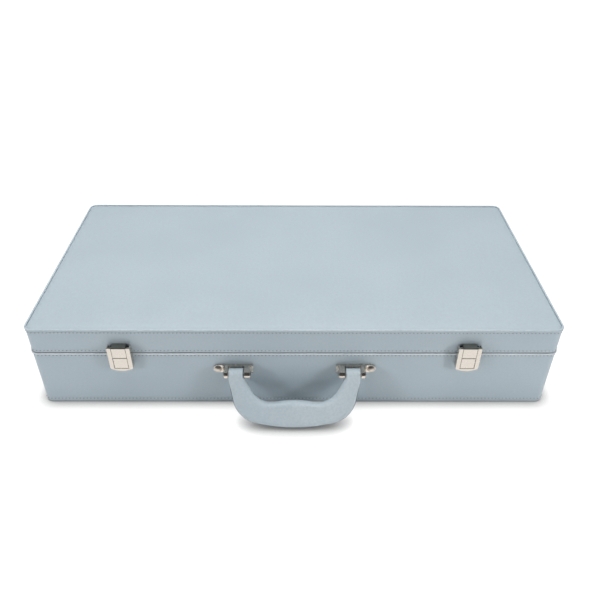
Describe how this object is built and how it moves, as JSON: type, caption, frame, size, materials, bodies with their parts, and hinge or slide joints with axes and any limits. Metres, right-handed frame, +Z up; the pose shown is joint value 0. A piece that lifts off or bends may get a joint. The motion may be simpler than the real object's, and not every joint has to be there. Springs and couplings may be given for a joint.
{
  "type": "mahjong set case",
  "caption": "Flat hard case with a padded leatherette lid, snap latches and a drop handle; inside, a bay for racks and trays for tiles.",
  "frame": {"origin": "middle of the bottom face, on the surface that the case stands on", "axes": "+X to the right along the length, -Y to the front where the handle and latches are, +Z up"},
  "size_m": [0.532, 0.3082, 0.0997],
  "materials": {
    "leatherette": "smooth satin leatherette, pale blue-grey",
    "leatherette_top": "smooth satin leatherette over a thin pad, pale blue-grey",
    "handle_leatherette": "smooth satin leatherette moulded over the core",
    "piping": "smooth satin rolled edge",
    "board": "bare board, hidden by the covers",
    "foam": "soft matte foam, hidden by the cover",
    "lining": "short-pile matte lining",
    "tray_plastic": "satin moulded plastic",
    "nickel": "satin nickel plate",
    "nickel_domes": "satin nickel plate",
    "steel": "plated steel"
  },
  "bodies": {
    "base": {"base_frame": "board", "base_floor": "board", "base_side_cover": "leatherette", "base_bottom_cover": "leatherette", "base_rim_welt": "piping", "base_lining": "lining", "rack_divider": "lining", "tile_tray_1": "tray_plastic", "tile_tray_2": "tray_plastic", "tile_tray_3": "tray_plastic", "tile_tray_4": "tray_plastic", "base_rear_feet": "nickel_domes", "base_hinge_screws": "nickel_domes", "base_latch_rivets": "nickel_domes", "handle_rivets": "nickel_domes", "hinge_base_leaf_left": "steel", "hinge_base_leaf_right": "steel", "hinge_pin_left": "steel", "hinge_pin_right": "steel", "latch_base_plate_left": "nickel", "latch_base_plate_right": "nickel", "latch_catch_left": "nickel", "latch_catch_right": "nickel", "handle_bracket_left": "nickel", "handle_bracket_right": "nickel", "handle_pin_left": "steel", "handle_pin_right": "steel"},
    "lid": {"lid_frame": "board", "lid_panel": "board", "lid_side_cover": "leatherette", "lid_edge_welt": "piping", "lid_top_pad": "foam", "lid_top_cover": "leatherette_top", "lid_lining": "lining", "lid_hinge_screws": "nickel_domes", "lid_latch_rivets": "nickel_domes", "lid_rear_feet": "nickel_domes", "hinge_lid_leaf_left": "steel", "hinge_lid_leaf_right": "steel", "latch_lid_block_left": "nickel", "latch_lid_block_right": "nickel", "latch_pin_left": "steel", "latch_pin_right": "steel"},
    "latch_left": {"latch_frame_left": "nickel"},
    "latch_right": {"latch_frame_right": "nickel"},
    "handle": {"handle_grip": "handle_leatherette", "handle_bush_left": "steel", "handle_bush_right": "steel"}
  },
  "joints": [
    {"name": "lid_hinge", "type": "hinge", "parent": "base", "child": "lid", "pos_m": [0, 0.1317, 0.0684], "axis": [-1, 0, 0], "range_deg": [0, 104], "deforming": ["latch_catch_left", "latch_catch_right"]},
    {"name": "latch_left_hinge", "type": "hinge", "parent": "lid", "child": "latch_left", "pos_m": [-0.1735, -0.1325, 0.0787], "axis": [-1, 0, 0], "range_deg": [0, 110]},
    {"name": "latch_right_hinge", "type": "hinge", "parent": "lid", "child": "latch_right", "pos_m": [0.1735, -0.1325, 0.0787], "axis": [-1, 0, 0], "range_deg": [0, 110]},
    {"name": "handle_swing", "type": "hinge", "parent": "base", "child": "handle", "pos_m": [0, -0.1393, 0.0491], "axis": [-1, 0, 0], "range_deg": [-28, 150]}
  ]
}
